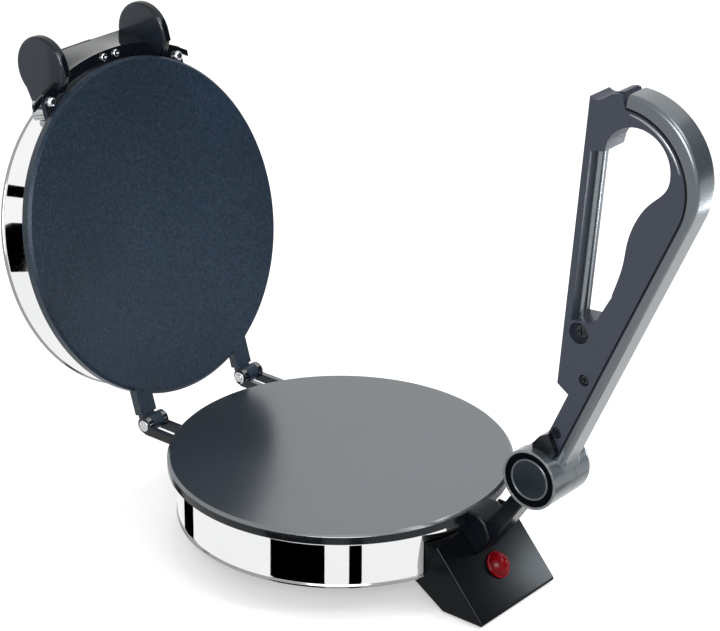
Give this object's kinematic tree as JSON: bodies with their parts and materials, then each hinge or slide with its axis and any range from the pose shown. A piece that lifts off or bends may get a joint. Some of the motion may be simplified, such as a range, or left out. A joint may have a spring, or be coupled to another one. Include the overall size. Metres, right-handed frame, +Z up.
{
  "type": "electric roti maker",
  "caption": "Round countertop cooker with a heated plate, a heated lid hinged at the back, and a front press lever with a D shaped hand hole that folds over the lid.",
  "frame": {"origin": "centre of the lower cooking face", "axes": "+Z up out of the lower cooking face; -Y is the front, where the lever stands; +X along the lid's hinge axis"},
  "size_m": [0.22, 0.4882, 0.3506],
  "materials": {
    "black_casting": "satin black paint over a casting",
    "black_steel": "satin black paint",
    "ceramic": "white ceramic",
    "coated_aluminium": "dark non-stick coating over cast aluminium",
    "element_steel": "heat tinted steel",
    "foot_rubber": "black rubber",
    "gloss_black": "gloss black moulding",
    "lamp_glass": "neon bulb",
    "plated_steel": "bright zinc plated steel",
    "polished_steel": "mirror polished steel sheet",
    "pressed_steel": "plain pressed steel",
    "red_lens": "red translucent lens",
    "satin_black": "satin black moulding",
    "silver_casting": "silver lacquered casting",
    "silver_strip": "silver lacquered moulding",
    "slate": "slate grey moulding, fine satin"
  },
  "bodies": {
    "base": {"base_band": "polished_steel", "base_heat_shield": "pressed_steel", "bottom_pan": "black_steel", "bracket_bolts": "plated_steel", "cord_inlet": "foot_rubber", "feet": "foot_rubber", "foot_screws": "plated_steel", "front_bracket": "black_casting", "hinge_pin_clips": "plated_steel", "hinge_pins": "plated_steel", "housing_cover": "satin_black", "lamp_lens": "red_lens", "lamp_retainer": "plated_steel", "lower_centre_bolt": "plated_steel", "lower_element": "element_steel", "lower_element_clamp": "pressed_steel", "lower_plate": "coated_aluminium", "neon_lamp": "lamp_glass", "pan_pillars": "plated_steel", "pan_screws": "plated_steel", "terminal_block": "ceramic", "terminal_housing": "gloss_black", "thermal_fuse": "plated_steel", "thermostat": "plated_steel"},
    "lid": {"ear_screws": "plated_steel", "lid_band": "polished_steel", "lid_bracket": "gloss_black", "lid_bracket_screws": "plated_steel", "lid_cover": "polished_steel", "lid_cover_screws": "plated_steel", "lid_heat_shield": "pressed_steel", "lid_pillars": "plated_steel", "press_pad": "satin_black", "upper_centre_bolt": "plated_steel", "upper_element": "element_steel", "upper_element_clamp": "pressed_steel", "upper_plate": "coated_aluminium"},
    "lever": {"hub_cap_left": "satin_black", "hub_cap_right": "satin_black", "lever_collar": "gloss_black", "lever_cover_strip": "silver_strip", "lever_grip": "slate", "lever_hub": "silver_casting", "lever_rod": "plated_steel", "lever_screws": "plated_steel", "pivot_bolt": "plated_steel", "pivot_nut": "plated_steel"}
  },
  "joints": [
    {"name": "lid_hinge", "type": "hinge", "parent": "base", "child": "lid", "pos_m": [0, 0.1193, -0.0003], "axis": [1, 0, 0], "range_deg": [0, 106.5]},
    {"name": "lever_pivot", "type": "hinge", "parent": "base", "child": "lever", "pos_m": [0, -0.16, 0.041], "axis": [1, 0, 0], "range_deg": [-97, 0]}
  ]
}
